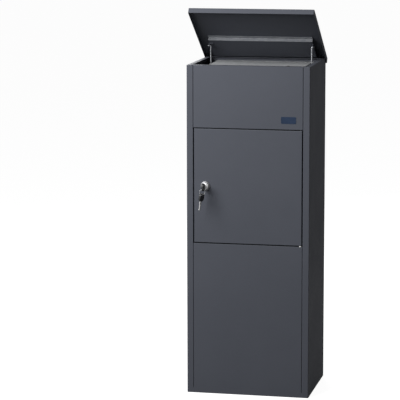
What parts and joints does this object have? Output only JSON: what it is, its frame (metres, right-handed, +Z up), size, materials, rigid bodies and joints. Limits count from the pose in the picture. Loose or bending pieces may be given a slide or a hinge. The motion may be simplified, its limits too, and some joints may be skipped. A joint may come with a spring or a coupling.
{
  "type": "parcel mailbox",
  "caption": "Tall free-standing steel parcel box: lift-up lid linked to a tilting flap, and a locked front door over the parcel compartment, with key, ring and spare key.",
  "frame": {"origin": "middle of the cabinet's footprint, on the floor", "axes": "+X to the right as seen from the front, +Y to the back, +Z up; the front with the door faces -Y"},
  "size_m": [0.388, 0.3598, 1.1889],
  "materials": {
    "cabinet_paint": "fine textured powder coat, satin",
    "galvanised": "bare galvanised sheet",
    "plain_steel": "zinc plated",
    "key_metal": "nickel plated",
    "chrome": "polished",
    "white_nylon": "moulded",
    "rubber": "matt",
    "badge": "plain gloss plate",
    "black_plastic": "fine matt grain"
  },
  "bodies": {
    "cabinet": {"left_side_panel": "cabinet_paint", "right_side_panel": "cabinet_paint", "rear_panel": "cabinet_paint", "base_panel": "cabinet_paint", "upper_front_panel": "cabinet_paint", "lower_front_panel": "cabinet_paint", "flap_rear_ledge": "galvanised", "flap_hinge_rod": "plain_steel", "hinge_leaf_rear": "cabinet_paint", "lid_hinge_pin": "plain_steel", "hinge_rivets": "cabinet_paint", "lid_buffers": "rubber", "badge_plate": "badge", "door_hinge_pin_upper": "plain_steel", "door_hinge_pin_lower": "plain_steel", "door_hinge_washer": "white_nylon"},
    "lid": {"lid": "cabinet_paint", "lid_stiffener": "cabinet_paint", "stiffener_angle": "galvanised", "hinge_leaf_lid": "cabinet_paint", "lid_link_lugs": "cabinet_paint"},
    "links": {"link_rod_left": "plain_steel", "link_rod_right": "plain_steel", "link_push_nuts": "plain_steel"},
    "flap": {"flap": "galvanised"},
    "door": {"door": "cabinet_paint", "lock_escutcheon": "chrome", "lock_barrel": "chrome", "lock_nut": "plain_steel"},
    "lock_cylinder": {"lock_plug": "chrome", "lock_cam": "plain_steel", "cam_screw": "plain_steel"},
    "key": {"key_blade": "key_metal", "key_bow": "black_plastic"},
    "key_ring": {"key_ring": "key_metal"},
    "spare_key": {"spare_key_blade": "key_metal", "spare_key_bow": "black_plastic"}
  },
  "joints": [
    {"name": "lid_open", "type": "hinge", "parent": "cabinet", "child": "lid", "pos_m": [0, 0.15295, 1.015], "axis": [-1, 0, 0], "range_deg": [-33, 0]},
    {"name": "link_swing", "type": "hinge", "parent": "lid", "child": "links", "pos_m": [0, 0.06169, 1.06175], "axis": [-1, 0, 0], "range_deg": [-1.4, 0]},
    {"name": "flap_tilt", "type": "hinge", "parent": "cabinet", "child": "flap", "pos_m": [0, 0.1224, 1.00475], "axis": [-1, 0, 0], "range_deg": [-50.5, 0]},
    {"name": "door_open", "type": "hinge", "parent": "cabinet", "child": "door", "pos_m": [0.1625, -0.145, 0.6505], "axis": [0, 0, 1], "range_deg": [0, 105]},
    {"name": "lock_turn", "type": "hinge", "parent": "door", "child": "lock_cylinder", "pos_m": [-0.132, -0.15, 0.6505], "axis": [0, 1, 0], "range_deg": [0, 90]},
    {"name": "key_slide", "type": "slide", "parent": "lock_cylinder", "child": "key", "axis": [0, -1, 0], "range_m": [0, 0.02]},
    {"name": "ring_swing", "type": "hinge", "parent": "key", "child": "key_ring", "pos_m": [-0.132, -0.187, 0.646], "axis": [-1, 0, 0], "range_deg": [-12, 60]},
    {"name": "spare_key_turn", "type": "hinge", "parent": "key_ring", "child": "spare_key", "pos_m": [-0.13339, -0.187, 0.63721], "axis": [0, 1, 0], "range_deg": [-90, 0]}
  ],
  "couplings": [
    {"joint": "flap_tilt", "follows": "lid_open", "ratio": 1.524},
    {"joint": "link_swing", "follows": "lid_open", "ratio": 0.037},
    {"joint": "spare_key_turn", "follows": "lock_turn", "ratio": -1}
  ]
}
